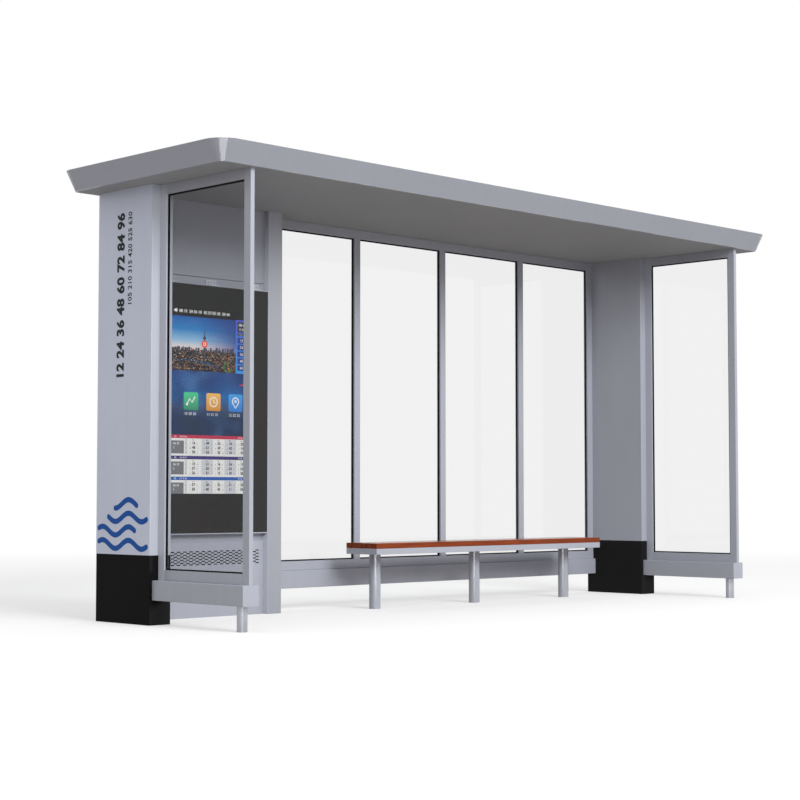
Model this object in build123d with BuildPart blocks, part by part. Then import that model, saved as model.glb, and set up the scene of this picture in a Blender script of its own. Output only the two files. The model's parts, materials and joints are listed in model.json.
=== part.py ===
"""Bus shelter: two pylons, a flared flat roof, glazed ends and back, an information kiosk and a bench.

Frame: X runs along the shelter, -Y is the open front and Z is up. The origin is on the ground under
the centre of the roof. All sizes are in millimetres.
"""

import os

from build123d import *

os.makedirs("parts", exist_ok=True)

# Overall sizes
SPAN = 5000  # across the outer faces of the two pylons
SOFFIT_Z = 2686  # headroom under the roof
PYLON_WIDTH = 160
PYLON_DEPTH = 554
PLINTH_HEIGHT = 422
END_PANEL_THICKNESS = 3  # sheet on the outer face of each pylon

# Roof: its outer skin leans outwards, and its corners get rounder towards the top
ROOF_HEIGHT = 125
ROOF_FLARE = 65
ROOF_PAST_ENDS = 180
ROOF_PAST_FRONT = 894
ROOF_PAST_BACK = 36
ROOF_CORNER_LOW = 50
ROOF_CORNER_HIGH = 135
FASCIA_THICKNESS = 12
SOFFIT_THICKNESS = 12
DECK_THICKNESS = 12
DECK_BELOW_RIM = 30

# Beams that carry the glazing
BEAM_BOTTOM = 150
BEAM_TOP = 271
SIDE_BEAM_WIDTH = 120
BACK_BEAM_PROUD = 21

# Glazed end frames
SIDE_REACH = 857  # from the pylon's front face to the front stile's front face
SIDE_FRAME_THICKNESS = 30
SIDE_BACK_STILE = 62
SIDE_FRONT_STILE = 59
RAIL_HEIGHT = 63
FOOT_DIAMETER = 62
FOOT_FROM_FRONT = 77  # foot's axis behind the beam's front end

# Glazed back wall
BACK_FRAME_FRONT = 494  # behind the pylons' front face
BACK_FRAME_DEPTH = 40
BACK_BAYS = 4
MULLION_WIDTH = 56
BACK_END_STILE = 64

# Glazing
GLASS_THICKNESS = 8
GASKET_WIDTH = 9
GASKET_PROUD = 2  # gasket's face in front of the glass

# Rounded long edges
EASE = 2  # slim frame members
PYLON_EASE = 1
POST_EASE = 3
BEAM_EASE = 5

# Information kiosk, between the left pylon and its own post
KIOSK_INNER_WIDTH = 1029
KIOSK_FACE = 341  # panel face, behind the pylons' front face
KIOSK_PANEL_DEPTH = 12
KIOSK_SHEET = 3
POST_WIDTH = 120
POST_FACE = 298
SCREEN_FACE = 300
SCREEN_BOTTOM = 542
SCREEN_TOP = 2142
SCREEN_THICKNESS = 8
SCREEN_SIDE_GAP = 3
SCREEN_RIM = 7
HEADER_HEIGHT = 48
PANEL_GAP = 4
VENT_PANEL_HEIGHT = 487
VENT_PANEL_BEND = 5  # rounded top edge of the vent panel

# Ventilation slots, in staggered rows
SLOT_LENGTH = 29
SLOT_HEIGHT = 7
SLOT_PITCH = 50
SLOT_ROW_PITCH = 10.4
SLOT_ROWS = 9
SLOTS_PER_LONG_ROW = 19
SLOT_CENTRE_Z = 381.5
SLOT_SHIFT = 11  # middle of the slots, right of the kiosk's centre line

# Slotted angle brackets that hold the display's top edge to the header
BRACKET_WIDTH = 85
BRACKET_RISE = 37
BRACKET_SHEET = 4
BRACKET_OFFSETS = (-298, 59, 416)  # right of the kiosk's centre line
BRACKET_SLOTS = 3
BRACKET_SLOT_WIDTH = 10
BRACKET_SLOT_HEIGHT = 14
BRACKET_SLOT_PITCH = 25

# Bench
BENCH_LENGTH = 2400
BENCH_DEPTH = 300
BENCH_CENTRE_FROM_LEFT = 3095  # from the left pylon's outer face
BENCH_BACK = 288  # seat's back edge, behind the pylons' front face
SEAT_TOP = 459
SLAT_THICKNESS = 37
SLAT_COUNT = 6
SLAT_GAP = 4
SLAT_EASE = 3
BENCH_RAIL_HEIGHT = 40
BENCH_RAIL_WIDTH = 40
BENCH_BEARER_WIDTH = 80
BENCH_LEG_DIAMETER = 80
BENCH_LEG_PITCH = 1012
BENCH_LEG_BACK = 200  # leg axis, behind the pylons' front face

# Places worked out from the sizes above
LEFT = -SPAN / 2
RIGHT = SPAN / 2
FRONT = (ROOF_PAST_FRONT - PYLON_DEPTH - ROOF_PAST_BACK) / 2  # pylons' front face, roof centred on Y = 0
BACK = FRONT + PYLON_DEPTH
ROOF_LENGTH = SPAN + 2 * ROOF_PAST_ENDS
ROOF_DEPTH = ROOF_PAST_FRONT + PYLON_DEPTH + ROOF_PAST_BACK

KIOSK_LEFT = LEFT + PYLON_WIDTH
POST_LEFT = KIOSK_LEFT + KIOSK_INNER_WIDTH
POST_RIGHT = POST_LEFT + POST_WIDTH
KIOSK_CENTRE = (KIOSK_LEFT + POST_LEFT) / 2
KIOSK_PANEL_Y = FRONT + KIOSK_FACE
KIOSK_BODY_Y = KIOSK_PANEL_Y + KIOSK_PANEL_DEPTH

BAY_RIGHT = RIGHT - PYLON_WIDTH
BAY_PITCH = (BAY_RIGHT - POST_RIGHT) / BACK_BAYS
GLASS_BOTTOM = BEAM_TOP + RAIL_HEIGHT
GLASS_TOP = SOFFIT_Z - RAIL_HEIGHT
BACK_FRAME_Y = (FRONT + BACK_FRAME_FRONT, FRONT + BACK_FRAME_FRONT + BACK_FRAME_DEPTH)


def save(piece, name):
    """Label a finished piece and write it as its own STEP file."""
    piece.part.label = name
    export_step(piece.part, f"parts/{name}.step")


def bar(name, run, x, y, z, ease=EASE):
    """A straight bar between the given limits, running along one axis, with its long edges rounded."""
    if run == "X":
        start, length, across, up = Plane.YZ.offset(x[0]), x[1] - x[0], y, z
    elif run == "Y":
        start, length, across, up = Plane.XZ.offset(-y[1]), y[1] - y[0], x, z
    else:
        start, length, across, up = Plane.XY.offset(z[0]), z[1] - z[0], x, y
    with BuildPart() as piece:
        with BuildSketch(start) as profile:
            with Locations((sum(across) / 2, sum(up) / 2)):
                Rectangle(across[1] - across[0], up[1] - up[0])
            if ease:
                fillet(profile.vertices(), ease)
        extrude(amount=length)
    save(piece, name)


def tube_foot(name, x, y, top, diameter):
    """A round leg from the ground up to the piece that it carries."""
    with BuildPart() as foot:
        with BuildSketch():
            with Locations((x, y)):
                Circle(diameter / 2)
        extrude(amount=top)
    save(foot, name)


def roof_block(inset, low, high):
    """A slice of the roof between two heights above its soffit, inset from the outer skin."""
    with BuildPart() as block:
        for height in (low, high):
            rise = height / ROOF_HEIGHT
            spread = 2 * (ROOF_FLARE * rise - inset)
            corner = ROOF_CORNER_LOW + (ROOF_CORNER_HIGH - ROOF_CORNER_LOW) * rise - inset
            with BuildSketch(Plane.XY.offset(SOFFIT_Z + height)):
                RectangleRounded(ROOF_LENGTH + spread, ROOF_DEPTH + spread, corner)
        loft(ruled=True)
    return block.part


# Pylons, their plinths and the panels on their outer faces
pylon_y = (FRONT, BACK)
pylon_z = (PLINTH_HEIGHT, SOFFIT_Z)
for side, outer, inward in (("left", LEFT, 1), ("right", RIGHT, -1)):
    panel_back = outer + inward * END_PANEL_THICKNESS
    inner = outer + inward * PYLON_WIDTH
    bar(f"{side}_plinth", "Z", sorted((outer, inner)), pylon_y, (0, PLINTH_HEIGHT), POST_EASE)
    bar(f"{side}_pylon", "Z", sorted((panel_back, inner)), pylon_y, pylon_z, PYLON_EASE)
    bar(f"{side}_end_panel", "Z", sorted((outer, panel_back)), pylon_y, pylon_z, 0)

# Roof: a flared ring, a flat underside and a deck sunk below the rim
with BuildPart() as roof_fascia:
    add(roof_block(0, 0, ROOF_HEIGHT))
    add(roof_block(FASCIA_THICKNESS, 0, ROOF_HEIGHT), mode=Mode.SUBTRACT)
save(roof_fascia, "roof_fascia")

with BuildPart() as roof_soffit:
    add(roof_block(FASCIA_THICKNESS, 0, SOFFIT_THICKNESS))
save(roof_soffit, "roof_soffit")

with BuildPart() as roof_deck:
    deck_top = ROOF_HEIGHT - DECK_BELOW_RIM
    add(roof_block(FASCIA_THICKNESS, deck_top - DECK_THICKNESS, deck_top))
save(roof_deck, "roof_deck")

# Glazed ends: beam, foot, four frame members, glass and gaskets on each side
front_end = FRONT - SIDE_REACH
side_glass_y = (front_end + SIDE_FRONT_STILE, FRONT - SIDE_BACK_STILE)
side_glass_z = (GLASS_BOTTOM, GLASS_TOP)

for side, centre in (("left", LEFT + PYLON_WIDTH / 2), ("right", RIGHT - PYLON_WIDTH / 2)):
    beam_x = (centre - SIDE_BEAM_WIDTH / 2, centre + SIDE_BEAM_WIDTH / 2)
    frame_x = (centre - SIDE_FRAME_THICKNESS / 2, centre + SIDE_FRAME_THICKNESS / 2)
    glass_x = (centre - GLASS_THICKNESS / 2, centre + GLASS_THICKNESS / 2)
    bar(f"{side}_beam", "Y", beam_x, (front_end, FRONT), (BEAM_BOTTOM, BEAM_TOP), BEAM_EASE)
    tube_foot(f"{side}_front_foot", centre, front_end + FOOT_FROM_FRONT, BEAM_BOTTOM, FOOT_DIAMETER)
    bar(f"{side}_front_stile", "Z", frame_x, (front_end, side_glass_y[0]), (BEAM_TOP, SOFFIT_Z))
    bar(f"{side}_back_stile", "Z", frame_x, (side_glass_y[1], FRONT), (BEAM_TOP, SOFFIT_Z))
    bar(f"{side}_bottom_rail", "Y", frame_x, side_glass_y, (BEAM_TOP, GLASS_BOTTOM))
    bar(f"{side}_top_rail", "Y", frame_x, side_glass_y, (GLASS_TOP, SOFFIT_Z))
    bar(f"{side}_glass", "X", glass_x, side_glass_y, side_glass_z, 0)

    with BuildPart() as side_gaskets:
        for face_x, way in ((glass_x[0], -GASKET_PROUD), (glass_x[1], GASKET_PROUD)):
            with BuildSketch(Plane.YZ.offset(face_x)):
                with Locations((sum(side_glass_y) / 2, sum(side_glass_z) / 2)):
                    width = side_glass_y[1] - side_glass_y[0]
                    height = side_glass_z[1] - side_glass_z[0]
                    Rectangle(width, height)
                    Rectangle(width - 2 * GASKET_WIDTH, height - 2 * GASKET_WIDTH, mode=Mode.SUBTRACT)
            extrude(amount=way)
    save(side_gaskets, f"{side}_gaskets")

# Glazed back wall: beam, rails, end stiles, mullions, panes and gaskets
back_beam_y = (BACK_FRAME_Y[0] - BACK_BEAM_PROUD, BACK_FRAME_Y[1])
bay_x = (POST_RIGHT, BAY_RIGHT)
bar("back_beam", "X", bay_x, back_beam_y, (BEAM_BOTTOM, BEAM_TOP), BEAM_EASE)
bar("back_bottom_rail", "X", bay_x, BACK_FRAME_Y, (BEAM_TOP, GLASS_BOTTOM))
bar("back_top_rail", "X", bay_x, BACK_FRAME_Y, (GLASS_TOP, SOFFIT_Z))
upright_z = (GLASS_BOTTOM, GLASS_TOP)
bar("back_left_stile", "Z", (POST_RIGHT, POST_RIGHT + BACK_END_STILE), BACK_FRAME_Y, upright_z)
bar("back_right_stile", "Z", (BAY_RIGHT - BACK_END_STILE, BAY_RIGHT), BACK_FRAME_Y, upright_z)

pane_starts = [POST_RIGHT + BACK_END_STILE]
pane_ends = []
for number in range(1, BACK_BAYS):
    middle = POST_RIGHT + number * BAY_PITCH
    mullion_x = (middle - MULLION_WIDTH / 2, middle + MULLION_WIDTH / 2)
    bar(f"back_mullion_{number}", "Z", mullion_x, BACK_FRAME_Y, upright_z)
    pane_ends.append(mullion_x[0])
    pane_starts.append(mullion_x[1])
pane_ends.append(BAY_RIGHT - BACK_END_STILE)

back_middle = sum(BACK_FRAME_Y) / 2
pane_y = (back_middle - GLASS_THICKNESS / 2, back_middle + GLASS_THICKNESS / 2)
for number, pane_x in enumerate(zip(pane_starts, pane_ends), start=1):
    bar(f"back_glass_{number}", "Y", pane_x, pane_y, upright_z, 0)

with BuildPart() as back_gaskets:
    for face_y, way in ((pane_y[0], GASKET_PROUD), (pane_y[1], -GASKET_PROUD)):
        with BuildSketch(Plane.XZ.offset(-face_y)):
            for start, end in zip(pane_starts, pane_ends):
                with Locations(((start + end) / 2, (GLASS_BOTTOM + GLASS_TOP) / 2)):
                    width = end - start
                    height = GLASS_TOP - GLASS_BOTTOM
                    Rectangle(width, height)
                    Rectangle(width - 2 * GASKET_WIDTH, height - 2 * GASKET_WIDTH, mode=Mode.SUBTRACT)
        extrude(amount=way)
save(back_gaskets, "back_gaskets")

# Information kiosk: post, housing, screen and panels
kiosk_x = (KIOSK_LEFT, POST_LEFT)
bar("kiosk_post", "Z", (POST_LEFT, POST_RIGHT), (FRONT + POST_FACE, BACK), (0, SOFFIT_Z), POST_EASE)
bar("kiosk_housing", "Z", kiosk_x, (KIOSK_BODY_Y, BACK), (0, SOFFIT_Z), 0)

frame_z = (SCREEN_BOTTOM - SCREEN_RIM, SCREEN_TOP + SCREEN_RIM)
screen_face_y = FRONT + SCREEN_FACE
screen_width = KIOSK_INNER_WIDTH - 2 * SCREEN_SIDE_GAP
screen_height = SCREEN_TOP - SCREEN_BOTTOM
screen_centre = (KIOSK_CENTRE, (SCREEN_BOTTOM + SCREEN_TOP) / 2)

with BuildPart() as kiosk_screen_frame:
    with BuildSketch(Plane.XZ.offset(-KIOSK_BODY_Y)):
        with Locations((KIOSK_CENTRE, sum(frame_z) / 2)):
            Rectangle(KIOSK_INNER_WIDTH, frame_z[1] - frame_z[0])
    extrude(amount=KIOSK_BODY_Y - screen_face_y)
    with BuildSketch(Plane.XZ.offset(-screen_face_y)):
        with Locations(screen_centre):
            Rectangle(screen_width, screen_height)
    extrude(amount=-SCREEN_THICKNESS, mode=Mode.SUBTRACT)
save(kiosk_screen_frame, "kiosk_screen_frame")

with BuildPart() as kiosk_screen:
    with BuildSketch(Plane.XZ.offset(-screen_face_y)):
        with Locations(screen_centre):
            Rectangle(screen_width, screen_height)
    extrude(amount=-SCREEN_THICKNESS)
save(kiosk_screen, "kiosk_screen")

header_z = (frame_z[1], frame_z[1] + HEADER_HEIGHT)
panel_y = (KIOSK_PANEL_Y, KIOSK_BODY_Y)
bar("kiosk_header", "X", kiosk_x, panel_y, header_z, 0)
bar("kiosk_upper_panel", "X", kiosk_x, panel_y, (header_z[1] + PANEL_GAP, SOFFIT_Z), 0)

bracket_xs = [KIOSK_CENTRE + right for right in BRACKET_OFFSETS]
bracket_foot = KIOSK_PANEL_Y - screen_face_y
with BuildPart() as screen_brackets:
    for bracket_x in bracket_xs:
        with BuildSketch(Plane.YZ.offset(bracket_x - BRACKET_WIDTH / 2)):
            with Locations((KIOSK_PANEL_Y, frame_z[1])):
                Rectangle(bracket_foot, BRACKET_SHEET, align=(Align.MAX, Align.MIN))
                Rectangle(BRACKET_SHEET, BRACKET_RISE, align=(Align.MAX, Align.MIN))
        extrude(amount=BRACKET_WIDTH)
    with BuildSketch(Plane.XZ.offset(-KIOSK_PANEL_Y)):
        for bracket_x in bracket_xs:
            with Locations((bracket_x, frame_z[1] + (BRACKET_SHEET + BRACKET_RISE) / 2)):
                with GridLocations(BRACKET_SLOT_PITCH, 1, BRACKET_SLOTS, 1):
                    Rectangle(BRACKET_SLOT_WIDTH, BRACKET_SLOT_HEIGHT)
    extrude(amount=BRACKET_SHEET, mode=Mode.SUBTRACT)
save(screen_brackets, "screen_brackets")

# Vent panel: a shallow tray with its edges turned back, pierced by staggered slots
slots_middle = KIOSK_CENTRE + SLOT_SHIFT
with BuildPart() as kiosk_vent_panel:
    with BuildSketch(Plane.XZ.offset(-KIOSK_BODY_Y)):
        with Locations((KIOSK_CENTRE, VENT_PANEL_HEIGHT / 2)):
            Rectangle(KIOSK_INNER_WIDTH, VENT_PANEL_HEIGHT)
    extrude(amount=KIOSK_PANEL_DEPTH)
    front_face = kiosk_vent_panel.faces().sort_by(Axis.Y)[0]
    fillet(front_face.edges().sort_by(Axis.Z)[-1], VENT_PANEL_BEND)
    back_face = kiosk_vent_panel.faces().sort_by(Axis.Y)[-1]
    offset(amount=-KIOSK_SHEET, openings=back_face)
    with BuildSketch(Plane.XZ.offset(-KIOSK_PANEL_Y)):
        for row in range(SLOT_ROWS):
            row_z = SLOT_CENTRE_Z + (row - (SLOT_ROWS - 1) / 2) * SLOT_ROW_PITCH
            with Locations((slots_middle, row_z)):
                with GridLocations(SLOT_PITCH, 1, SLOTS_PER_LONG_ROW - row % 2, 1):
                    Rectangle(SLOT_LENGTH, SLOT_HEIGHT)
    extrude(amount=-KIOSK_SHEET, mode=Mode.SUBTRACT)
save(kiosk_vent_panel, "kiosk_vent_panel")

filter_width = SLOT_PITCH * SLOTS_PER_LONG_ROW + SLOT_LENGTH
filter_height = SLOT_ROW_PITCH * (SLOT_ROWS + 2)
with BuildPart() as kiosk_vent_filter:
    with BuildSketch(Plane.XZ.offset(-KIOSK_BODY_Y)):
        with Locations((slots_middle, SLOT_CENTRE_Z)):
            Rectangle(filter_width, filter_height)
    extrude(amount=KIOSK_PANEL_DEPTH - 2 * KIOSK_SHEET)
save(kiosk_vent_filter, "kiosk_vent_filter")

# Bench: wooden slats on a steel frame and three round legs
bench_x = (LEFT + BENCH_CENTRE_FROM_LEFT - BENCH_LENGTH / 2, LEFT + BENCH_CENTRE_FROM_LEFT + BENCH_LENGTH / 2)
bench_y = (FRONT + BENCH_BACK - BENCH_DEPTH, FRONT + BENCH_BACK)
bench_middle = (sum(bench_x) / 2, sum(bench_y) / 2)
slat_bottom = SEAT_TOP - SLAT_THICKNESS
rail_z = (slat_bottom - BENCH_RAIL_HEIGHT, slat_bottom)
slat_width = (BENCH_DEPTH - (SLAT_COUNT - 1) * SLAT_GAP) / SLAT_COUNT

with BuildPart() as bench_slats:
    with BuildSketch(Plane.YZ.offset(bench_x[0])):
        with Locations((bench_middle[1], SEAT_TOP - SLAT_THICKNESS / 2)):
            with GridLocations(slat_width + SLAT_GAP, 1, SLAT_COUNT, 1):
                RectangleRounded(slat_width, SLAT_THICKNESS, SLAT_EASE)
    extrude(amount=BENCH_LENGTH)
save(bench_slats, "bench_slats")

inner_y = (bench_y[0] + BENCH_RAIL_WIDTH, bench_y[1] - BENCH_RAIL_WIDTH)
bar("bench_front_rail", "X", bench_x, (bench_y[0], inner_y[0]), rail_z)
bar("bench_back_rail", "X", bench_x, (inner_y[1], bench_y[1]), rail_z)

leg_y = FRONT + BENCH_LEG_BACK
leg_xs = {
    "left": bench_middle[0] - BENCH_LEG_PITCH,
    "middle": bench_middle[0],
    "right": bench_middle[0] + BENCH_LEG_PITCH,
}
with BuildPart() as bench_cross_bars:
    with BuildSketch(Plane.XY.offset(rail_z[0])):
        for leg_x in leg_xs.values():
            with Locations((leg_x, bench_middle[1])):
                Rectangle(BENCH_BEARER_WIDTH, inner_y[1] - inner_y[0])
        for end_x in (bench_x[0] + BENCH_RAIL_WIDTH / 2, bench_x[1] - BENCH_RAIL_WIDTH / 2):
            with Locations((end_x, bench_middle[1])):
                Rectangle(BENCH_RAIL_WIDTH, inner_y[1] - inner_y[0])
    extrude(amount=BENCH_RAIL_HEIGHT)
save(bench_cross_bars, "bench_cross_bars")

for place, leg_x in leg_xs.items():
    tube_foot(f"bench_leg_{place}", leg_x, leg_y, rail_z[0], BENCH_LEG_DIAMETER)
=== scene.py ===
"""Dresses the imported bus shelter: paints, glass, wood, the lit display, the printed ends, lights and camera.

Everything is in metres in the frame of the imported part: X along the shelter, -Y towards the open
front, Z up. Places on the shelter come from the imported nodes' boxes. Colours are plain light values,
except those that go through linear().
"""
import json
import math
import random
from functools import cached_property

import bmesh
import bpy
from mathutils import Matrix, Vector


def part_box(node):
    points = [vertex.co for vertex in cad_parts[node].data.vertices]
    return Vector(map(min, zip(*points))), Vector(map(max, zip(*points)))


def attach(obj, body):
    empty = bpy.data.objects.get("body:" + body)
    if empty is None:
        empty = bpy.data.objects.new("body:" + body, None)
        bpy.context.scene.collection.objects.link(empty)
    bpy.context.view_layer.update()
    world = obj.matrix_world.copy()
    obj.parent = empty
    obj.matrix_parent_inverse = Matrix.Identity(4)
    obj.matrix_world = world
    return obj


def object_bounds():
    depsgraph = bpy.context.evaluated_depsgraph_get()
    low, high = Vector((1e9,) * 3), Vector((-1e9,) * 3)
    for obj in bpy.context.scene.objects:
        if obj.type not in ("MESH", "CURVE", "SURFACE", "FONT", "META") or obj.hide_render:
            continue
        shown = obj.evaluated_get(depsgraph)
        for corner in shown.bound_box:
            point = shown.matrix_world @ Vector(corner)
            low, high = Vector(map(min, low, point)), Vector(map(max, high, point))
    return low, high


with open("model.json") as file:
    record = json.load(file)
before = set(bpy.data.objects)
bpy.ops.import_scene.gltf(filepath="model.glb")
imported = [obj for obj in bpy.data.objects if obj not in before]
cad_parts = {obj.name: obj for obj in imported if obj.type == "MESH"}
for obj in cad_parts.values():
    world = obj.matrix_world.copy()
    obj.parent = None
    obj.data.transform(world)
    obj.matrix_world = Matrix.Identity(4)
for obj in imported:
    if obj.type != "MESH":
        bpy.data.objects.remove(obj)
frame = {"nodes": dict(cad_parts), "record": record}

cad_lo, cad_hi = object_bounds()
nodes = frame["nodes"]
rng = random.Random(7)

# ---------------------------------------------------------------- driving values
CAMERA_PLACE = (-8.982, -8.541, 0.788)
CAMERA_YAW = -44.733  # degrees; 0 looks along +Y and negative turns towards +X
CAMERA_PITCH = 3.067  # degrees above the horizon
CAMERA_LENS = 79.71  # mm on the default 36 mm sensor

FRAME_GREY = (0.40, 0.41, 0.46)
PANEL_GREY = (0.635, 0.665, 0.785)
SOFFIT_GREY = (0.366, 0.366, 0.369)
BRACKET_GREY = (0.62, 0.62, 0.66)
BLACK = (0.0085, 0.0085, 0.009)
GLASS_TINT = (0.882, 0.882, 0.882)
# Tint of the left pane's darker copy of the glass: painted shade over what is seen through it.
PAINTED_SHADE_TINT = (0.745, 0.745, 0.76)
SHADED_IOR = 1.12  # so low that the left pane hardly reflects the white surroundings
PASSING_TINT = (0.95, 0.96, 0.96)  # of the light that goes straight through a pane

SLATS = 6
SLAT_GAP = 0.004
PRINT = 0.0004  # thickness of vinyl, ink and the lit patches of the display
LAYER = 0.0006  # from one layer to the next that lies on it

# Printed ends, from an end panel's lower corner: numbers as (text, x, y, size), then the waves.
ROUTE_NUMBERS = ("12 24 36 48 60 72 84 96", 0.272, 1.080, 0.100)
SMALL_NUMBERS = ("105 210 315 420 525 630", 0.351, 1.534, 0.054)
WAVE_ENDS = ((0.03, 0.52), (0.03, 0.40), (0.13, 0.52), (0.20, 0.42))
WAVE_BOTTOM = 0.062
WAVE_PITCH = 0.083
WAVE_RISE = 0.026
WAVE_LENGTH = 0.27
WAVE_STROKE = 0.033
WAVE_STEPS = 28
PANEL_WIDTH = 0.554  # of the panel that WAVE_ENDS are drawn for

# The lit part of the kiosk's screen, from the screen's lower left corner.
SCREEN_BLACK = (0.006, 0.006, 0.007)
SCREEN_STRENGTH = 1.14
LIT_LEFT, LIT_RIGHT = 0.169, 0.854
TABLE_END, VIEW_BOTTOM, VIEW_TOP = 0.254, 1.041, 1.390
VIEW_RIGHT = 0.748
HORIZON = 1.172
MAST_X = 0.487
BUTTON_Y = 1.218
BUTTON_HALF = 0.024
HEAD_ARROW = [(0.238, 1.424), (0.262, 1.438), (0.262, 1.410)]
TILE_LEFT, TILE_RIGHT = 0.762, 0.846
TILE_TOPS = (1.277, 1.232, 1.187, 1.142, 1.097)
TILE_HEIGHT = 0.037
ICON_LEFT, ICON_BOTTOM = 0.322, 0.789
ICON = 0.117
ICON_PITCH = 0.1835
ICON_STROKE = 0.007
LABEL_Y = 0.757  # baseline of the figures under the icons
MENU_ARROW = [(0.772, 0.958), (0.846, 0.992), (0.846, 0.970)]
STRIPE_TOP = 0.629
STRIPE_HEIGHT = 0.022
TABLE_STEP = 0.1335
TABLE_HEIGHT = 0.120
ROW_TOP, ROW_PITCH, ROWS = 0.059, 0.029, 3
COLUMNS = (0.355, 0.468, 0.562, 0.658, 0.755, 0.854)
TIMES = len(COLUMNS) - 1

# Floor and surroundings. The floor glows to the eye, where it also turns to plain white far away.
FLOOR_REACH = 60.0
FLOOR_SHOWN = (0.635, 0.617, 0.602)
FLOOR_BOUNCE = (0.42, 0.396, 0.378)  # to the object
FLOOR_GLOW = 0.400
FLOOR_FADE = (6.0, 13.0)
AMBIENT = 0.70
AMBIENT_TINT = (0.94, 0.97, 1.0)

# Lamps. A place is an azimuth, where 0 is the open front, an elevation and a distance from the middle.
KEY_PLACE, KEY_WIDTH, KEY_HEIGHT = (-9, 26, 15.0), 8.0, 6.5
KEY_TINT = (0.95, 0.97, 1.0)
KEYS = [  # name, watts, nodes, and whether only these are lit or all but these
    ("front_key", 1900, ["roof_fascia", "kiosk_post"], "EXCLUDE"),
    ("roof_key", 900, ["roof_fascia"], "INCLUDE"),
]
FILL_SIDE = 3.0
FILLS = [  # name, place, watts, nodes lit
    ("post_fill", (-52, 15, 11.0), 1040, ["kiosk_post"]),
    ("far_fill", (-60, 8, 11.0), 210, ["right_back_stile"]),
    ("left_plinth_fill", (25, 6, 11.0), 2300, ["left_plinth"]),
    ("right_plinth_fill", (-30, 6, 11.0), 1700, ["right_plinth"]),
    ("nook_fill", (-45, 10, 11.0), 370, ["left_back_stile", "left_pylon"]),
]

# ---------------------------------------------------------------- node helpers


class Nodes:
    """The node tree of a new material or world, with short ways to add and link nodes."""

    def __init__(self, name, kind="materials", output="ShaderNodeOutputMaterial"):
        self.owner = getattr(bpy.data, kind).new(name)
        self.owner.use_nodes = True
        self.tree = self.owner.node_tree
        self.tree.nodes.clear()
        self.out = self.add(output)

    @cached_property
    def where(self):
        """Object coordinates."""
        return self.add("ShaderNodeTexCoord").outputs["Object"]

    def add(self, kind, **settings):
        node = self.tree.nodes.new(kind)
        for key, value in settings.items():
            setattr(node, key, value)
        return node

    def link(self, source, target):
        self.tree.links.new(source, target)

    def put(self, socket, value):
        """A colour, a number or another node's socket, given to a socket."""
        if isinstance(value, tuple):
            socket.default_value = (*value, 1) if len(value) == 3 else value
        elif isinstance(value, (int, float)):
            socket.default_value = value
        else:
            self.link(value, socket)

    def scaled(self, scale, where=None):
        """Coordinates stretched by a scale for each axis."""
        mapping = self.add("ShaderNodeMapping")
        mapping.inputs["Scale"].default_value = scale
        self.link(where or self.where, mapping.inputs["Vector"])
        return mapping.outputs["Vector"]

    def noise(self, scale, detail=4.0, rough=0.55, where=None):
        node = self.add("ShaderNodeTexNoise")
        node.inputs["Scale"].default_value = scale
        node.inputs["Detail"].default_value = detail
        node.inputs["Roughness"].default_value = rough
        self.link(where or self.where, node.inputs["Vector"])
        return node.outputs["Fac"]

    def ramp(self, source, stops):
        """A colour ramp through (position, colour) stops."""
        node = self.add("ShaderNodeValToRGB")
        points = node.color_ramp.elements
        while len(points) < len(stops):
            points.new(0.5)
        for point, (place, colour) in zip(points, stops):
            point.position = place
            point.color = (*colour, 1)
        self.link(source, node.inputs["Fac"])
        return node.outputs["Color"]

    def tones(self, source, colour, spread):
        """A colour, darker where the source is low and lighter where it is high."""
        return self.ramp(source, [(0.3, shade(colour, 1 - spread)), (0.7, shade(colour, 1 + spread))])

    def span(self, source, old, new):
        """A value moved from one (low, high) range to another, clamped."""
        node = self.add("ShaderNodeMapRange")
        for socket, value in zip(("From Min", "From Max", "To Min", "To Max"), (*old, *new)):
            node.inputs[socket].default_value = value
        self.link(source, node.inputs["Value"])
        return node.outputs["Result"]

    def math(self, operation, first, second=0.0):
        node = self.add("ShaderNodeMath", operation=operation)
        self.put(node.inputs[0], first)
        self.put(node.inputs[1], second)
        return node.outputs["Value"]

    def mix(self, share, first, second):
        """Two colours mixed by a share; each may be a socket or a plain value."""
        node = self.add("ShaderNodeMix", data_type="RGBA")
        sockets = [s for s in node.inputs if s.type == "RGBA"]
        for socket, value in zip((node.inputs[0], *sockets), (share, first, second)):
            self.put(socket, value)
        return [s for s in node.outputs if s.type == "RGBA"][0]

    def bump(self, height, strength, distance):
        node = self.add("ShaderNodeBump")
        node.inputs["Strength"].default_value = strength
        node.inputs["Distance"].default_value = distance
        self.link(height, node.inputs["Height"])
        return node.outputs["Normal"]

    def axis(self, letter, where=None):
        """One coordinate."""
        node = self.add("ShaderNodeSeparateXYZ")
        self.link(where or self.where, node.inputs["Vector"])
        return node.outputs[letter]

    def rays(self, *kinds):
        """1 for rays of these kinds, by Light Path's names, and 0 for others."""
        path = self.add("ShaderNodeLightPath")
        share = path.outputs[kinds[0]]
        for kind in kinds[1:]:
            share = self.math("MAXIMUM", share, path.outputs[kind])
        return share

    def surface(self, **inputs):
        """A Principled shader with plain values or linked sockets, joined to the output."""
        shader = self.add("ShaderNodeBsdfPrincipled")
        for key, value in inputs.items():
            self.put(shader.inputs[key.replace("_", " ")], value)
        self.link(shader.outputs["BSDF"], self.out.inputs["Surface"])
        return shader

    def either(self, share, first, second):
        """Two shaders mixed by a share, joined to the output."""
        both = self.add("ShaderNodeMixShader")
        for socket, source in zip(both.inputs, (share, first, second)):
            self.link(source, socket)
        self.link(both.outputs["Shader"], self.out.inputs["Surface"])


def shade(colour, factor):
    return tuple(c * factor for c in colour)


def linear(red, green, blue):
    """A colour as a screen shows it, 0 to 255, as the plain light values that Blender works with."""
    shares = (red / 255, green / 255, blue / 255)
    return tuple(c / 12.92 if c < 0.04045 else ((c + 0.055) / 1.055) ** 2.4 for c in shares)


# ---------------------------------------------------------------- materials


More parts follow.
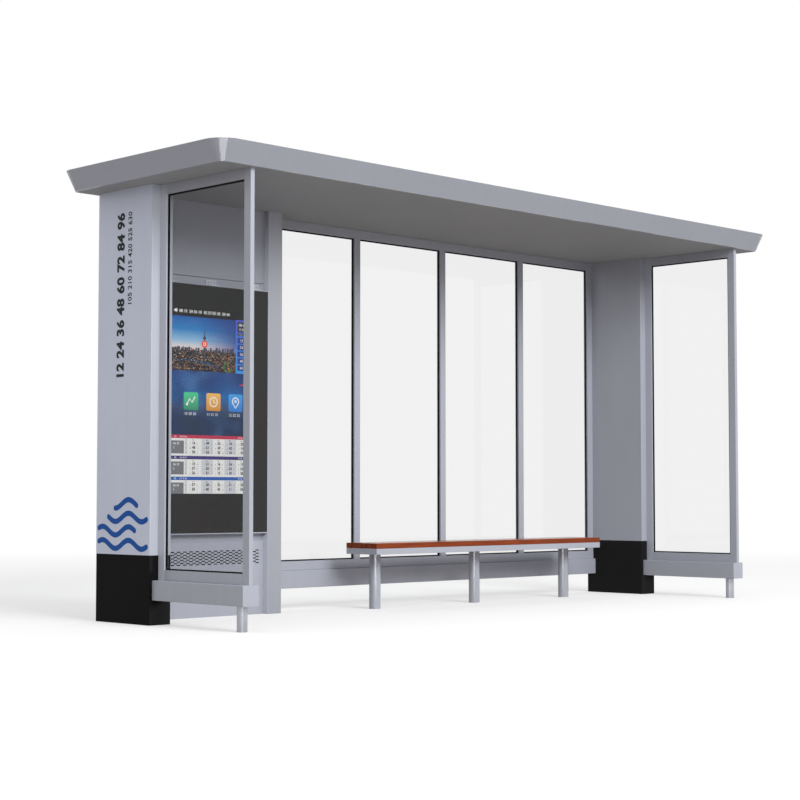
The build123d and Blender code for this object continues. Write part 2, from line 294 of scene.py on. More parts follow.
def paint(name, colour, roughness=0.34, spread=0.02, dust=0.04, specular=0.5, coat=0.0):
    """Powder coat: faint cloudiness and orange peel, rain streaks and a little dust near the ground."""
    n = Nodes(name)
    tone = n.tones(n.noise(1.7, detail=2.0), colour, spread)
    streak = n.noise(3.0, detail=1.5, rough=0.4, where=n.scaled((7.0, 7.0, 0.25)))
    tone = n.mix(n.span(streak, (0.45, 0.80), (0.0, 0.10)), tone, shade(colour, 0.74))
    low = n.span(n.axis("Z"), (0.0, 0.30), (dust, 0.0))
    patches = n.span(n.noise(4.0, detail=3.0, rough=0.5), (0.35, 0.7), (0.5, 1.0))
    tone = n.mix(n.math("MULTIPLY", low, patches), tone, (0.20, 0.19, 0.17))
    gloss = n.noise(6.0, detail=2.0)
    n.surface(
        Base_Color=tone,
        Roughness=n.span(gloss, (0.3, 0.7), (0.92 * roughness, 1.08 * roughness)),
        Specular_IOR_Level=specular,
        Coat_Weight=coat,
        Coat_Roughness=0.02,
        Normal=n.bump(n.noise(500.0, detail=2.0), strength=0.01, distance=0.0002),
    )
    return n.owner


def steel(name):
    """Satin steel tube with a fine grain round it."""
    n = Nodes(name)
    grain = n.noise(60.0, rough=0.6, where=n.scaled((1.0, 1.0, 22.0)))
    tone = n.ramp(n.noise(6.0), [(0.3, (0.40, 0.41, 0.45)), (0.7, (0.47, 0.48, 0.53))])
    low = n.span(n.axis("Z"), (0.0, 0.08), (0.35, 0.0))
    tone = n.mix(n.math("MULTIPLY", low, n.noise(30.0, detail=5.0)), tone, (0.13, 0.12, 0.11))
    n.surface(
        Base_Color=tone,
        Metallic=0.55,
        Roughness=n.span(grain, (0.3, 0.7), (0.30, 0.40)),
        Normal=n.bump(grain, strength=0.05, distance=0.0003),
    )
    return n.owner


def rubber(name):
    """Matt black glazing gasket with a little dust on it."""
    n = Nodes(name)
    dust = n.noise(140.0, detail=5.0, rough=0.7)
    n.surface(
        Base_Color=n.ramp(dust, [(0.35, (0.003, 0.003, 0.003)), (0.8, (0.009, 0.009, 0.009))]),
        Roughness=n.span(dust, (0.3, 0.7), (0.62, 0.80)),
        Specular_IOR_Level=0.12,
        Normal=n.bump(dust, strength=0.15, distance=0.0002),
    )
    return n.owner


def clear_glass(name, tint, gloss, ior=1.45):
    """Toughened glass. Shadow and soft light pass straight through, as they do in a thin pane."""
    n = Nodes(name)
    smear = n.noise(2.2, detail=6.0, rough=0.65, where=n.scaled((1.0, 1.0, 0.5)))
    pane = n.surface(
        Base_Color=tint,
        Transmission_Weight=1.0,
        Roughness=n.span(smear, (0.45, 0.75), (0.0, 0.02)),
        IOR=ior,
        Specular_Tint=(gloss, gloss, gloss),
    )
    through = n.add("ShaderNodeBsdfTransparent")
    n.put(through.inputs["Color"], PASSING_TINT)
    straight = n.rays("Is Shadow Ray", "Is Diffuse Ray")
    n.either(straight, pane.outputs["BSDF"], through.outputs["BSDF"])
    return n.owner


def screen_face(name):
    """Glossy black face of the display, with faint finger smears in its gloss and a dark tint in it."""
    n = Nodes(name)
    smear = n.noise(5.0, detail=6.0, rough=0.7)
    tint = n.noise(2.6, rough=0.5, where=n.scaled((2.0, 1.0, 0.5)))
    n.surface(
        Base_Color=n.ramp(
            tint,
            [(0.35, (0.010, 0.006, 0.005)), (0.5, (0.007, 0.007, 0.007)), (0.66, (0.006, 0.009, 0.006))],
        ),
        Roughness=n.span(smear, (0.4, 0.75), (0.03, 0.10)),
        Specular_IOR_Level=0.42,
    )
    return n.owner


def filter_and_shade_mat(name):
    """Matt black filter mat behind the vent's slots; its near-black colour is also painted shade for the dark
    inside of the cabinet.
    """
    n = Nodes(name)
    weave = n.noise(700.0, detail=3.0, rough=0.8)
    n.surface(
        Base_Color=n.ramp(weave, [(0.3, (0.003, 0.003, 0.003)), (0.8, (0.012, 0.012, 0.011))]),
        Roughness=0.95,
        Specular_IOR_Level=0.1,
        Normal=n.bump(weave, strength=0.6, distance=0.001),
    )
    return n.owner


def coated(name, colour):
    """Fine-grained light coat of the small brackets."""
    n = Nodes(name)
    fine = n.noise(400.0, detail=3.0)
    n.surface(
        Base_Color=n.ramp(n.noise(20.0), [(0.3, shade(colour, 0.93)), (0.7, shade(colour, 1.04))]),
        Roughness=n.span(fine, (0.3, 0.7), (0.36, 0.48)),
        Normal=n.bump(fine, strength=0.1, distance=0.0002),
    )
    return n.owner


def varnished_wood(name, slat_pitch, slat_start):
    """Reddish-brown hardwood: long grain along X, a tone of its own for each slat, and fine dark fibres."""
    n = Nodes(name)
    place = n.math("DIVIDE", n.math("SUBTRACT", n.axis("Y"), slat_start), slat_pitch)
    number = n.math("FLOOR", place)
    own = n.add("ShaderNodeTexWhiteNoise", noise_dimensions="1D")
    n.link(number, own.inputs["W"])
    shift = n.add("ShaderNodeCombineXYZ")
    n.link(n.math("MULTIPLY", number, 3.7), shift.inputs["X"])
    n.link(n.math("MULTIPLY", number, 1.3), shift.inputs["Z"])
    moved = n.add("ShaderNodeVectorMath", operation="ADD")
    n.link(n.where, moved.inputs[0])
    n.link(shift.outputs["Vector"], moved.inputs[1])
    along = moved.outputs["Vector"]
    grain = n.noise(3.2, detail=8.0, rough=0.62, where=n.scaled((0.9, 22.0, 22.0), along))
    fibre = n.noise(1.0, detail=3.0, rough=0.7, where=n.scaled((6.0, 260.0, 260.0), along))
    tone = n.ramp(
        grain,
        [
            (0.28, (0.128, 0.019, 0.003)), (0.46, (0.255, 0.043, 0.007)),
            (0.60, (0.325, 0.058, 0.010)), (0.78, (0.200, 0.032, 0.005)),
        ],
    )
    tone = n.mix(n.span(fibre, (0.35, 0.75), (0.0, 0.45)), tone, (0.090, 0.014, 0.006))
    tone = n.mix(n.span(own.outputs["Value"], (0.0, 1.0), (0.0, 0.30)), tone, (0.140, 0.024, 0.009))
    n.surface(
        Base_Color=tone,
        Roughness=n.span(fibre, (0.3, 0.7), (0.34, 0.48)),
        Specular_IOR_Level=0.08,
        Coat_Weight=1.0,
        Coat_IOR=1.15,
        Coat_Roughness=0.18,
        Normal=n.bump(fibre, strength=0.25, distance=0.0006),
    )
    return n.owner


def printed(name, colour):
    """Ink or vinyl: one hue, faintly mottled, with a satin face."""
    n = Nodes(name)
    mottle = n.noise(60.0)
    n.surface(
        Base_Color=n.tones(mottle, colour, 0.06),
        Roughness=n.span(mottle, (0.3, 0.7), (0.34, 0.44)),
        Specular_IOR_Level=0.12,
    )
    return n.owner


def glowing(n, tone):
    """A lit patch of the display, seen through its dark glossy face."""
    n.surface(
        Base_Color=SCREEN_BLACK,
        Roughness=n.span(n.noise(6.0, detail=5.0), (0.4, 0.75), (0.04, 0.10)),
        Specular_IOR_Level=0.42,
        Emission_Color=tone,
        Emission_Strength=SCREEN_STRENGTH,
    )
    return n.owner


def lit(name, top, bottom=None, spread=0.04):
    """A lit patch that may fade from one colour at its top to another at its bottom, in its own box."""
    n = Nodes(name)
    tone = n.tones(n.noise(90.0, detail=3.0), top, spread)
    if bottom:
        in_box = n.add("ShaderNodeTexCoord").outputs["Generated"]
        tone = n.mix(n.axis("Z", in_box), bottom, tone)
    return glowing(n, tone)


def sky_glow(name, low, high):
    """An evening sky: pale and warm at the horizon, deep blue at the top and towards the right."""
    n = Nodes(name)
    rise = n.span(n.axis("Z"), (low.z, high.z), (0.0, 1.0))
    tone = n.ramp(
        rise,
        [
            (0.0, linear(225, 188, 168)), (0.12, linear(210, 205, 205)), (0.30, linear(135, 180, 212)),
            (0.62, linear(30, 122, 186)), (1.0, linear(6, 84, 156)),
        ],
    )
    dusk = n.ramp(
        rise,
        [(0.0, linear(104, 108, 160)), (0.35, linear(46, 72, 140)), (1.0, linear(24, 52, 122))],
    )
    tone = n.mix(n.span(n.axis("X"), (low.x + 0.25, high.x), (0.0, 0.95)), tone, dusk)
    cloud = n.noise(9.0, detail=5.0, rough=0.6, where=n.scaled((0.5, 1.0, 2.2)))
    return glowing(n, n.mix(n.span(cloud, (0.55, 0.8), (0.0, 0.18)), tone, linear(180, 180, 205)))


def city_glow(name):
    """The ground of the view: dark blocks with warm lights, too small to be shapes of their own."""
    n = Nodes(name)
    cells = n.add("ShaderNodeTexVoronoi", feature="F1")
    cells.inputs["Scale"].default_value = 105.0
    n.link(n.scaled((0.8, 1.0, 1.5)), cells.inputs["Vector"])
    spark = n.ramp(
        cells.outputs["Distance"],
        [
            (0.0, linear(255, 204, 140)), (0.24, linear(170, 116, 70)),
            (0.42, linear(28, 30, 36)), (1.0, linear(4, 10, 22)),
        ],
    )
    patches = n.noise(16.0, detail=5.0, rough=0.65)
    return glowing(n, n.mix(n.span(patches, (0.38, 0.62), (0.05, 0.95)), spark, linear(8, 18, 32)))


def evening_glow(name, low, high):
    """Soft blue background of the menu, with blurred pale and dark shapes."""
    n = Nodes(name)
    tone = n.ramp(
        n.span(n.axis("Z"), (low.z, high.z), (0.0, 1.0)),
        [
            (0.0, linear(6, 38, 62)), (0.25, linear(8, 42, 72)), (0.42, linear(46, 72, 104)),
            (0.62, linear(14, 98, 166)), (1.0, linear(4, 54, 122)),
        ],
    )
    blur = n.noise(7.0, detail=3.0, rough=0.4, where=n.scaled((1.0, 1.0, 0.8)))
    tone = n.mix(n.span(blur, (0.38, 0.62), (0.0, 0.55)), tone, linear(2, 36, 88))
    pale = n.noise(5.0, detail=2.0, rough=0.4)
    return glowing(n, n.mix(n.span(pale, (0.52, 0.75), (0.0, 0.40)), tone, linear(84, 136, 188)))


slat_lo, slat_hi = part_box("bench_slats")
slat_pitch = (slat_hi.y - slat_lo.y + SLAT_GAP) / SLATS

by_slot = {
    "silver_paint": paint("silver_paint", FRAME_GREY),
    "roof_paint": paint("roof_paint", FRAME_GREY, dust=0.0, specular=0.1, coat=0.4),
    "soffit_paint": paint("soffit_paint", SOFFIT_GREY, roughness=0.60, dust=0.0, specular=0.04),
    "bench_paint": paint("bench_paint", shade(FRAME_GREY, 1.03), roughness=0.18),
    "foot_steel": steel("foot_steel"),
    "black_paint": paint("black_paint", BLACK, roughness=0.40, spread=0.12, dust=0.0, specular=0.02),
    "gasket_rubber": rubber("gasket_rubber"),
    "clear_glass": clear_glass("clear_glass", GLASS_TINT, gloss=0.25),
    "screen_glass": screen_face("screen_glass"),
    "vent_filter": filter_and_shade_mat("vent_filter"),
    "bracket_paint": coated("bracket_paint", BRACKET_GREY),
    "panel_paint": paint("panel_paint", PANEL_GREY, roughness=0.36),
    "bench_wood": varnished_wood("bench_wood", slat_pitch, slat_lo.y - SLAT_GAP / 2),
}
slot_of = {row["node"]: row["material_slot"] for row in frame["record"]["subparts"]}
for name, node in nodes.items():
    node.data.materials.clear()
    node.data.materials.append(by_slot[slot_of[name]])

# The photograph's left pane looks darker, and shows less of the white surroundings.
# A darker copy of clear_glass on this pane alone: painted shade over what is seen through it.
painted_shade_glass = clear_glass("painted_shade_glass", PAINTED_SHADE_TINT, gloss=0.1, ior=SHADED_IOR)
nodes["left_glass"].data.materials[0] = painted_shade_glass

# ---------------------------------------------------------------- flat shapes


class Sheet:
    """A flat face to draw on: its lower left corner, and the ways across it, up it and out of it."""

    def __init__(self, corner, across):
        self.corner = Vector(corner)
        self.across = Vector(across)
        self.up = Vector((0, 0, 1))
        self.out = self.across.cross(self.up)

    def place(self, x, y, lift=0.0):
        return self.corner + self.across * x + self.up * y + self.out * lift


def box(x0, y0, x1, y1):
    return [(x0, y0), (x1, y0), (x1, y1), (x0, y1)]


def arc(x, y, radius, start, end, steps):
    """Points along a circle from one angle to another, in degrees."""
    turns = [math.radians(start + (end - start) * i / steps) for i in range(steps + 1)]
    return [(x + radius * math.cos(a), y + radius * math.sin(a)) for a in turns]


def rounded(x0, y0, x1, y1, radius):
    """A rectangle with rounded corners."""
    left, right, low, high = x0 + radius, x1 - radius, y0 + radius, y1 - radius
    corners = ((right, high, 0), (left, high, 90), (left, low, 180), (right, low, 270))
    return [p for x, y, start in corners for p in arc(x, y, radius, start, start + 90, 6)]


def ribbon(points, width):
    """A stroke of even width with rounded ends, along a line of points."""
    half = width / 2
    left, right = [], []
    for i, (x, y) in enumerate(points):
        ax, ay = points[max(i - 1, 0)]
        bx, by = points[min(i + 1, len(points) - 1)]
        length = math.hypot(bx - ax, by - ay)
        nx, ny = -(by - ay) / length * half, (bx - ax) / length * half
        left.append((x + nx, y + ny))
        right.append((x - nx, y - ny))
    (ax, ay), (bx, by) = points[-2:]
    way = math.degrees(math.atan2(by - ay, bx - ax))
    end = arc(bx, by, half, way + 90, way - 90, 8)[1:-1]
    (ax, ay), (bx, by) = points[:2]
    way = math.degrees(math.atan2(by - ay, bx - ax))
    start = arc(ax, ay, half, way - 90, way - 270, 8)[1:-1]
    return left + end + right[::-1] + start


def finished(name, shape, material):
    """A bmesh as a piece of the shelter."""
    mesh = bpy.data.meshes.new(name)
    shape.to_mesh(mesh)
    shape.free()
    mesh.materials.append(material)
    piece = bpy.data.objects.new(name, mesh)
    bpy.context.scene.collection.objects.link(piece)
    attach(piece, "root")


def inlay(name, sheet, outlines, layer, material):
    """Thin flat shapes on a sheet, one for each outline, as one piece."""
    lift = LAYER * layer
    shape = bmesh.new()
    for outline in outlines:
        front = [shape.verts.new(sheet.place(x, y, lift + PRINT)) for x, y in outline]
        back = [shape.verts.new(sheet.place(x, y, lift)) for x, y in outline]
        shape.faces.new(front)
        shape.faces.new(back[::-1])
        for a in range(len(outline)):
            b = (a + 1) % len(outline)
            shape.faces.new((front[b], front[a], back[a], back[b]))
    bmesh.ops.recalc_face_normals(shape, faces=shape.faces)
    bmesh.ops.triangulate(shape, faces=[f for f in shape.faces if len(f.verts) > 4])
    finished(name, shape, material)


def numerals(name, sheet, lines, layer, material, weight=0.0, turned=False):
    """Printed numbers, each given as (text, x, y, size) from its left end and baseline.

    Turned ones read upwards.
    """
    across, up = (sheet.up, -sheet.across) if turned else (sheet.across, sheet.up)
    turn = Matrix((across, up, across.cross(up))).transposed().to_4x4()
    shape = bmesh.new()
    for text, x, y, size in lines:
        data = bpy.data.curves.new(name, "FONT")
        data.body = text
        data.size = size
        data.offset = weight
        data.space_character = 1.04
        data.resolution_u = 3
        data.extrude = PRINT / 2
        words = bpy.data.objects.new(name, data)
        mesh = bpy.data.meshes.new_from_object(words)
        corner = sheet.place(x, y, LAYER * layer + PRINT / 2)
        mesh.transform(Matrix.Translation(corner) @ turn)
        shape.from_mesh(mesh)
        bpy.data.objects.remove(words)
        bpy.data.meshes.remove(mesh)
        bpy.data.curves.remove(data)
    finished(name, shape, material)


# ---------------------------------------------------------------- printed ends
ink = printed("sign_ink", linear(24, 25, 29))
blue_vinyl = printed("blue_vinyl", linear(14, 82, 162))


def end_print(side, sheet, width):
    """Route numbers reading upwards, and plain waves above the plinth."""
    numerals(side + "_route_numbers", sheet, [ROUTE_NUMBERS], 1, ink, 0.004, turned=True)
    numerals(side + "_small_numbers", sheet, [SMALL_NUMBERS], 1, ink, 0.0008, turned=True)
    waves = []
    for row, (start, end) in enumerate(WAVE_ENDS):
        line = []
        for i in range(WAVE_STEPS + 1):
            x = (start + (end - start) * i / WAVE_STEPS) * width / PANEL_WIDTH
            rise = WAVE_RISE * math.sin(x * math.tau / WAVE_LENGTH)
            line.append((x, WAVE_BOTTOM + WAVE_PITCH * row + rise))
        waves.append(ribbon(line, WAVE_STROKE))
    inlay(side + "_waves", sheet, waves, 1, blue_vinyl)


lo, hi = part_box("left_end_panel")
end_print("left", Sheet((lo.x, hi.y, lo.z), (0, -1, 0)), hi.y - lo.y)
lo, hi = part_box("right_end_panel")
end_print("right", Sheet((hi.x, lo.y, lo.z), (0, 1, 0)), hi.y - lo.y)

# ---------------------------------------------------------------- the lit display
lo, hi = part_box("kiosk_screen")
face = Sheet((lo.x, lo.y, lo.z), (1, 0, 0))
white = lit("lit_white", linear(232, 232, 230))


def on_screen(name, outlines, layer, material):
    inlay(name, face, outlines, layer, material)


def digits(name, lines, layer, material, weight=0.0):
    numerals(name, face, lines, layer, material, weight)


# The view: evening sky, a made-up skyline, water and lights.
sky_low, sky_high = face.place(LIT_LEFT, HORIZON), face.place(VIEW_RIGHT, VIEW_TOP)
sky = sky_glow("view_sky", sky_low, sky_high)
on_screen("view_sky", [box(LIT_LEFT, HORIZON, VIEW_RIGHT, VIEW_TOP)], 1, sky)
on_screen("view_city", [box(LIT_LEFT, VIEW_BOTTOM, VIEW_RIGHT, HORIZON)], 1, city_glow("view_city"))
towers, near_towers = [], []
x = LIT_LEFT
while x < VIEW_RIGHT - 0.02:
    width = rng.uniform(0.007, 0.018)
    middle = (x - LIT_LEFT) / (VIEW_RIGHT - LIT_LEFT)
    tall = 0.004 + 0.024 * abs(middle - 0.42) + rng.uniform(0, 0.018)
    towers.append(box(x, HORIZON - 0.004, x + width, HORIZON + tall))
    if rng.random() < 0.45:
        base = HORIZON - rng.uniform(0.02, 0.05)
        near_towers.append(box(x + 0.002, base, x + width * 0.8, base + rng.uniform(0.02, 0.055)))
    x += width * rng.uniform(0.8, 1.5)
tower_grey = lit("view_towers", linear(74, 80, 104), linear(46, 48, 62), 0.15)
near_grey = lit("view_near_towers", linear(96, 92, 96), linear(52, 46, 46), 0.2)
on_screen("view_towers", towers, 2, tower_grey)
on_screen("view_near_towers", near_towers, 3, near_grey)

# A mast of block, tapered shaft, pod and needle, each as half widths and heights above the horizon.
mast = [
    box(MAST_X - 0.016, HORIZON - 0.066, MAST_X + 0.016, HORIZON - 0.034),
    [
        (MAST_X - 0.010, HORIZON - 0.034), (MAST_X + 0.010, HORIZON - 0.034),
        (MAST_X + 0.004, HORIZON + 0.116), (MAST_X - 0.004, HORIZON + 0.116),
    ],
    rounded(MAST_X - 0.013, HORIZON + 0.078, MAST_X + 0.013, HORIZON + 0.094, 0.007),
    box(MAST_X - 0.0017, HORIZON + 0.116, MAST_X + 0.0017, HORIZON + 0.160),
]
on_screen("view_mast", mast, 4, lit("view_mast", linear(58, 78, 100), linear(70, 62, 58), 0.2))
river = [(0.40, 1.112), (0.45, 1.098), (0.52, 1.092), (0.58, 1.078), (0.60, 1.060)]
stream = [(0.25, 1.104), (0.33, 1.110), (0.40, 1.108)]
water = lit("view_water", linear(22, 62, 92), linear(26, 44, 70))
on_screen("view_water", [ribbon(river, 0.018), ribbon(stream, 0.010)], 3, water)
paths = [
    arc(0.680, 1.082, 0.036, 180, 340, 10),
    arc(0.680, 1.082, 0.036, 205, 325, 10),
    arc(0.672, 1.090, 0.022, 40, 230, 8),
]
on_screen("view_park", [ribbon(path, 0.004) for path in paths], 3, lit("view_park", linear(44, 150, 72)))
lamps = []
for _ in range(230):
    x = rng.uniform(LIT_LEFT + 0.004, VIEW_RIGHT - 0.006)
    y = HORIZON - 0.005 - 0.118 * rng.random() ** 0.8
    size = rng.uniform(0.0018, 0.0044)
    lamps.append(box(x, y, x + size * rng.uniform(0.8, 2.0), y + size))
on_screen("view_lamps", lamps[:150], 4, lit("view_warm_lamps", linear(236, 172, 108)))
on_screen("view_pale_lamps", lamps[150:], 4, lit("view_pale_lamps", linear(214, 206, 190)))

# Red round button over the view, with a white ring.
low, high = BUTTON_Y - BUTTON_HALF, BUTTON_Y + BUTTON_HALF
button = rounded(MAST_X - BUTTON_HALF, low, MAST_X + BUTTON_HALF, high, BUTTON_HALF - 0.0001)
on_screen("view_button", [button], 5, lit("button_red", linear(228, 72, 34)))
on_screen("view_button_ring", [ribbon(arc(MAST_X, BUTTON_Y, 0.010, 0, 350, 14), 0.005)], 6, white)

# The line of small figures over the view, with an arrow head and a bar before it.
on_screen("head_arrow", [HEAD_ARROW, box(0.264, 1.417, 0.268, 1.431)], 1, white)
digits("head_numbers", [("08 15  24 36 10  42 57 03 18  29 44", 0.283, 1.414, 0.027)], 1, white, 0.0005)

# The column of tiles beside the view.
column_blue = lit("column_blue", linear(74, 84, 196), linear(52, 148, 220))
on_screen("column_back", [box(VIEW_RIGHT, VIEW_BOTTOM, LIT_RIGHT, VIEW_TOP + 0.004)], 1, column_blue)
dark_tiles = [box(TILE_LEFT, low, TILE_RIGHT, high) for low, high in ((1.314, 1.381), (1.290, 1.306))]
on_screen("column_dark_tiles", dark_tiles, 2, lit("column_dark", linear(38, 40, 52)))
tiles = [rounded(TILE_LEFT, top - TILE_HEIGHT, TILE_RIGHT, top, 0.003) for top in TILE_TOPS]
on_screen("column_tiles", tiles, 2, lit("column_tile", linear(28, 52, 128)))
column = [("08:42", 0.772, 1.352, 0.026), ("17.06", 0.772, 1.324, 0.022), ("1 2 3 4", 0.768, 1.294, 0.012)]
column += [(str(12 * (i + 1)), 0.782, top - 0.027, 0.026) for i, top in enumerate(TILE_TOPS)]
digits("column_numbers", column, 3, white)

# The menu: three icons on a soft blue ground.
ground_low, ground_high = face.place(LIT_LEFT, STRIPE_TOP), face.place(LIT_RIGHT, VIEW_BOTTOM)
evening = evening_glow("menu_ground", ground_low, ground_high)
on_screen("menu_ground", [box(LIT_LEFT, STRIPE_TOP, LIT_RIGHT, VIEW_BOTTOM)], 1, evening)
icon_tones = (
    ("green", (72, 200, 140), (46, 138, 104)),
    ("orange", (238, 184, 92), (208, 140, 50)),
    ("blue", (66, 158, 222), (46, 118, 200)),
)
for i, (tone, top, bottom) in enumerate(icon_tones):
    left = ICON_LEFT + ICON_PITCH * i
    tile = rounded(left, ICON_BOTTOM, left + ICON, ICON_BOTTOM + ICON - 0.003, 0.012)
    on_screen("icon_" + tone, [tile], 2, lit("icon_" + tone, linear(*top), linear(*bottom)))

# Their signs: a route with a stop, a clock, and a map pin.
route_x, clock_x, pin_x = (ICON_LEFT + ICON_PITCH * i + ICON / 2 for i in range(3))
route = [
    (route_x - 0.032, 0.826), (route_x - 0.012, 0.862),
    (route_x + 0.008, 0.838), (route_x + 0.030, 0.872),
]
signs = [
    ribbon(route, 0.009),
    ribbon(arc(route_x - 0.032, 0.826, 0.006, 0, 300, 8), ICON_STROKE),
    ribbon(arc(clock_x, 0.847, 0.030, 90, 268, 14), ICON_STROKE),
    ribbon(arc(clock_x, 0.847, 0.030, -90, 88, 14), ICON_STROKE),
    ribbon([(clock_x, 0.866), (clock_x, 0.847), (clock_x + 0.014, 0.840)], 0.006),
    ribbon(arc(pin_x, 0.854, 0.026, 200, -20, 16), 0.008),
    ribbon([(pin_x - 0.024, 0.846), (pin_x, 0.812), (pin_x + 0.024, 0.846)], 0.008),
    ribbon(arc(pin_x, 0.856, 0.006, 0, 350, 10), ICON_STROKE),
]
on_screen("icon_signs", signs, 3, white)
icon_numbers = [("10 20 30", 0.326), ("11 21 31", 0.508), ("12 22 32", 0.690)]
digits("icon_numbers", [(text, x, LABEL_Y, 0.026) for text, x in icon_numbers], 2, white)
on_screen("menu_arrow", [MENU_ARROW], 2, lit("arrow_red", linear(214, 38, 46)))

# Three timetables: a coloured stripe, a grey label and rows of minutes.
ground = lit("table_white", linear(226, 226, 222))
on_screen("table_ground", [box(LIT_LEFT, TABLE_END, LIT_RIGHT, STRIPE_TOP - 0.001)], 1, ground)
white_numbers, minutes, small_numbers, labels, greys, rules = [], [], [], [], [], []
stripe_tones = (("red", (184, 42, 74)), ("violet", (58, 46, 112)), ("blue", (32, 84, 164)))
for t, (tone, colour) in enumerate(stripe_tones):
    top = STRIPE_TOP - TABLE_STEP * t
    bottom = max(top - TABLE_HEIGHT, TABLE_END)
    stripe = box(LIT_LEFT, top - STRIPE_HEIGHT, LIT_RIGHT, top)
    on_screen("stripe_" + tone, [stripe], 2, lit("stripe_" + tone, linear(*colour)))
    white_numbers += [
        (f"{12 * (t + 1)}", 0.246, top - 0.017, 0.018),
        (f"{105 * (t + 1)} {24 + t} {36 + t}", 0.290, top - 0.016, 0.014),
        ("07 30", 0.772, top - 0.016, 0.014),
        ("06 20", 0.240, top - 0.062, 0.020),
        (f"{2 + t}", 0.240, top - 0.088, 0.020),
    ]
    labels.append(box(LIT_LEFT, bottom, 0.325, top - 0.037))
    greys += [box(COLUMNS[k], bottom, COLUMNS[k + 1], top - 0.024) for k in (1, 3)]
    greys.append(box(0.334, bottom, 0.351, top - 0.024))
    for row in range(ROWS):
        y = top - ROW_TOP - ROW_PITCH * row
        if y < TABLE_END:
            continue
        rules.append(box(COLUMNS[0], y - 0.0095, LIT_RIGHT, y - 0.0085))
        small_numbers.append((f"{6 + row}", 0.338, y, 0.013))
        for left in COLUMNS[:TIMES]:
            hour = rng.randrange(0, 10)
            minutes.append((f"{rng.randrange(10, 59)}", left + 0.036, y, 0.024))
            small_numbers += [(f"{hour}", left + 0.018, y, 0.014), (f"{hour + 3}", left + 0.074, y, 0.014)]
    small_numbers += [(f"{10 * k + 10}", COLUMNS[k] + 0.036, top - 0.036, 0.013) for k in range(TIMES)]
on_screen("table_labels", labels, 3, lit("table_label", linear(112, 114, 116)))
on_screen("table_columns", greys, 2, lit("table_grey", linear(198, 200, 204)))
on_screen("table_rules", rules, 3, lit("table_rule", linear(178, 180, 184)))
digits("table_white_numbers", white_numbers, 4, white)
dark = lit("lit_dark", linear(62, 64, 66))
digits("table_numbers", minutes, 4, dark, 0.0011)
digits("table_small_numbers", small_numbers, 4, dark)

# ---------------------------------------------------------------- stage, lights and camera
SEEN = ("Is Camera Ray", "Is Glossy Ray", "Is Transmission Ray")


def stage_floor():
    """A pale floor: plain grey to the lamps, white to the eye, and it keeps the shadow."""
    mesh = bpy.data.meshes.new("floor")
    corners = [(x * FLOOR_REACH, y * FLOOR_REACH, 0) for x, y in box(-1, -1, 1, 1)]
    mesh.from_pydata(corners, [], [(0, 1, 2, 3)])
    floor = bpy.data.objects.new("floor", mesh)
    bpy.context.scene.collection.objects.link(floor)
    n = Nodes("floor")
    reach = n.add("ShaderNodeVectorMath", operation="LENGTH")
    n.link(n.where, reach.inputs[0])
    far = n.span(reach.outputs["Value"], FLOOR_FADE, (0.0, 1.0))
    seen = n.rays(*SEEN)
    diffuse = n.add("ShaderNodeBsdfDiffuse")
    shown = n.mix(far, FLOOR_SHOWN, (0.0, 0.0, 0.0))
    n.link(n.mix(seen, FLOOR_BOUNCE, shown), diffuse.inputs["Color"])
    glow = n.add("ShaderNodeEmission")
    n.put(glow.inputs["Color"], (1.0, 1.0, 1.0))
    n.link(n.math("MULTIPLY", seen, n.span(far, (0.0, 1.0), (FLOOR_GLOW, 1.0))), glow.inputs["Strength"])
    both = n.add("ShaderNodeAddShader")
    n.link(diffuse.outputs["BSDF"], both.inputs[0])
    n.link(glow.outputs["Emission"], both.inputs[1])
    n.link(both.outputs["Shader"], n.out.inputs["Surface"])
    floor.data.materials.append(n.owner)


def white_world():
    """Soft ambient light on the object, and plain white where the eye sees the background."""
    n = Nodes("world", "worlds", "ShaderNodeOutputWorld")
    bpy.context.scene.world = n.owner
    skies = []
    for tint, strength in ((AMBIENT_TINT, AMBIENT), ((1.0, 1.0, 1.0), 1.0)):
        sky = n.add("ShaderNodeBackground")
        n.put(sky.inputs["Color"], tint)
        n.put(sky.inputs["Strength"], strength)
        skies.append(sky.outputs["Background"])
    n.either(n.rays(*SEEN), *skies)


def around(azimuth, elevation, distance):
    """A place seen from the shelter's middle, at an azimuth where 0 is the open front."""
    a, e = math.radians(azimuth), math.radians(elevation)
    way = Vector((math.sin(a) * math.cos(e), -math.cos(a) * math.cos(e), math.sin(e)))
    return middle_of_all + way * distance


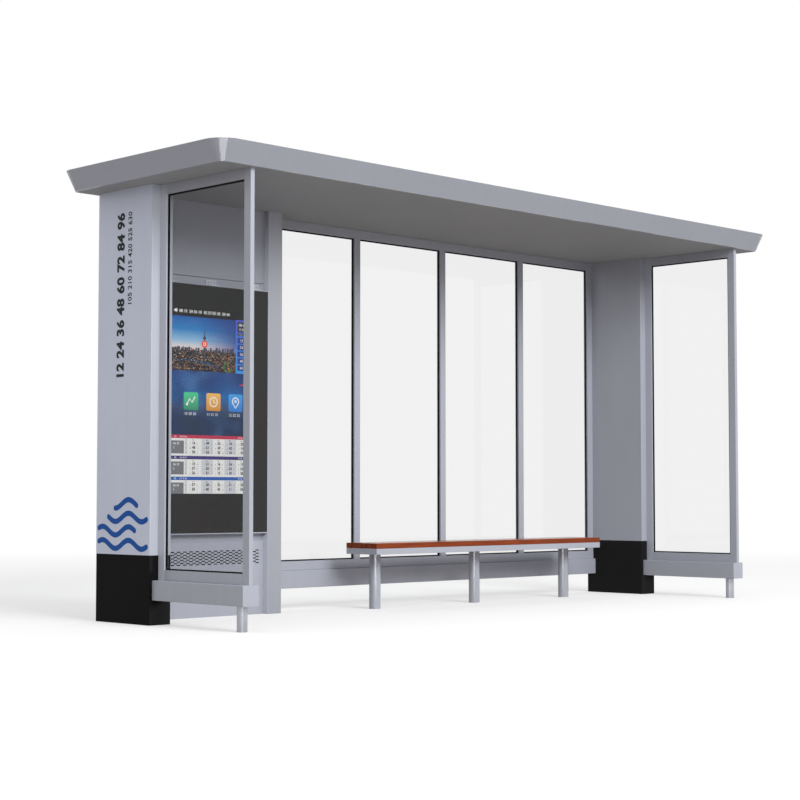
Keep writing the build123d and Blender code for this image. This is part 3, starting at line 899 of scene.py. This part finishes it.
def softbox(name, place, aim, width, height, power, tint=(1, 1, 1)):
    """An area lamp at a place, aimed at a point."""
    data = bpy.data.lights.new(name, "AREA")
    data.shape = "RECTANGLE"
    data.size = width
    data.size_y = height
    data.energy = power
    data.color = tint
    lamp = bpy.data.objects.new(name, data)
    bpy.context.scene.collection.objects.link(lamp)
    lamp.location = place
    lamp.rotation_euler = (Vector(aim) - Vector(place)).to_track_quat("-Z", "Y").to_euler()
    return lamp


def limit(lamp, names, state="INCLUDE"):
    """Light linking: the lamp lights only the nodes named, or all but these."""
    group = bpy.data.collections.new(lamp.name)
    for name in names:
        group.objects.link(nodes[name])
    lamp.light_linking.receiver_collection = group
    for entry in group.collection_objects:
        entry.light_linking.link_state = state


middle_of_all = (cad_lo + cad_hi) / 2
stage_floor()
white_world()
for name, power, lit_nodes, state in KEYS:
    key = softbox(name, around(*KEY_PLACE), middle_of_all, KEY_WIDTH, KEY_HEIGHT, power, KEY_TINT)
    key.visible_glossy = False
    limit(key, lit_nodes, state)
for name, place, power, lit_nodes in FILLS:
    fill = softbox(name, around(*place), middle_of_all, FILL_SIDE, FILL_SIDE, power)
    fill.visible_glossy = False
    limit(fill, lit_nodes)
legs = [name for name in nodes if name.startswith("bench_leg")]
feet = [name for name in nodes if "foot" in name]
for name, place, aim, width, height, power, shown_in in [
    ("leg_shine", (-1.6, -1.8, 1.1), (0.6, 0.3, 0.2), 1.6, 2.2, 115, legs),
    ("foot_shine", around(-45, 8, 11.0), middle_of_all, 0.6, 6.0, 260, feet),
    ("corner_shine", (-4.75, -3.15, 0.02), (-2.6, -0.8, 2.8), 3.2, 1.6, 190, ["roof_fascia"]),
]:
    shine = softbox(name, place, aim, width, height, power)
    shine.visible_diffuse = False  # it shows only as a reflection
    limit(shine, shown_in)

camera_data = bpy.data.cameras.new("camera")
camera_data.lens = CAMERA_LENS
camera = bpy.data.objects.new("camera", camera_data)
bpy.context.scene.collection.objects.link(camera)
camera.location = CAMERA_PLACE
camera.rotation_euler = (math.radians(90 + CAMERA_PITCH), 0, math.radians(CAMERA_YAW))
bpy.context.scene.camera = camera
bpy.context.scene.view_settings.view_transform = "Standard"
